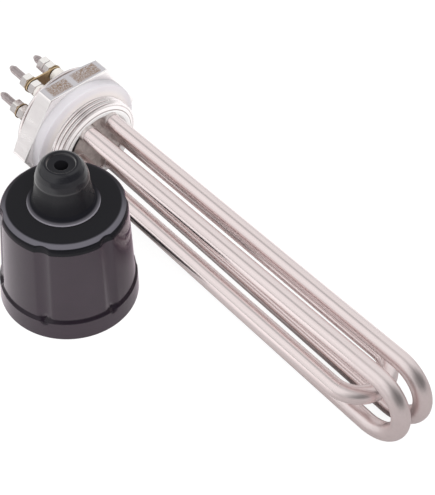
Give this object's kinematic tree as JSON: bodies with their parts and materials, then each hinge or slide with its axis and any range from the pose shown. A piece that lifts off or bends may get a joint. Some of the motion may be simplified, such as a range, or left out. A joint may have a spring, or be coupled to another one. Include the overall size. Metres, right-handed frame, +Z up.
{
  "type": "screw plug immersion heater",
  "caption": "Immersion heater with U-bent tube elements brazed into a threaded hexagon plug, and a black terminal cap with a cable grommet stood beside it.",
  "frame": {"origin": "middle of the underside of the whole part's box, on the surface it lies on", "axes": "+X along the elements, from the terminals to the bends; +Y across, away from the cap; +Z up"},
  "size_m": [0.2692, 0.1194, 0.0813],
  "materials": {
    "plug_steel": "turned and milled stainless steel, satin",
    "ring_silicone": "milky translucent silicone",
    "bridge_brass": "stamped strip, dull golden brown",
    "cap_plastic": "moulded black plastic, semi-gloss",
    "grommet_rubber": "moulded black rubber, semi-gloss",
    "sheath_steel": "annealed and polished stainless tube, satin",
    "magnesia": "packed white powder, matte",
    "resistance_wire": "oxidised resistance wire",
    "stud_steel": "plain steel, matt grey",
    "bead_ceramic": "fired ceramic, matte",
    "nut_plating": "plated, bright",
    "washer_brass": "stamped brass, dull"
  },
  "bodies": {
    "root": {"hex_plug": "plug_steel", "sealing_ring": "ring_silicone", "bridge_link": "bridge_brass", "terminal_cap": "cap_plastic", "cable_grommet": "grommet_rubber", "sheath_front": "sheath_steel", "magnesia_fill_front": "magnesia", "heating_coil_front": "resistance_wire", "sheath_rear": "sheath_steel", "magnesia_fill_rear": "magnesia", "heating_coil_rear": "resistance_wire", "sheath_middle": "sheath_steel", "magnesia_fill_middle": "magnesia", "heating_coil_middle": "resistance_wire", "terminal_stud_front_upper": "stud_steel", "insulator_front_upper": "bead_ceramic", "inner_nut_front_upper": "nut_plating", "washer_front_upper": "washer_brass", "outer_nut_front_upper": "nut_plating", "terminal_stud_front_lower": "stud_steel", "insulator_front_lower": "bead_ceramic", "inner_nut_front_lower": "nut_plating", "washer_front_lower": "washer_brass", "outer_nut_front_lower": "nut_plating", "terminal_stud_rear_upper": "stud_steel", "insulator_rear_upper": "bead_ceramic", "inner_nut_rear_upper": "nut_plating", "washer_rear_upper": "washer_brass", "outer_nut_rear_upper": "nut_plating", "terminal_stud_rear_lower": "stud_steel", "insulator_rear_lower": "bead_ceramic", "inner_nut_rear_lower": "nut_plating", "washer_rear_lower": "washer_brass", "outer_nut_rear_lower": "nut_plating", "terminal_stud_middle_front": "stud_steel", "insulator_middle_front": "bead_ceramic", "inner_nut_middle_front": "nut_plating", "washer_middle_front": "washer_brass", "outer_nut_middle_front": "nut_plating", "terminal_stud_middle_rear": "stud_steel", "insulator_middle_rear": "bead_ceramic", "inner_nut_middle_rear": "nut_plating", "washer_middle_rear": "washer_brass", "outer_nut_middle_rear": "nut_plating"}
  },
  "joints": []
}
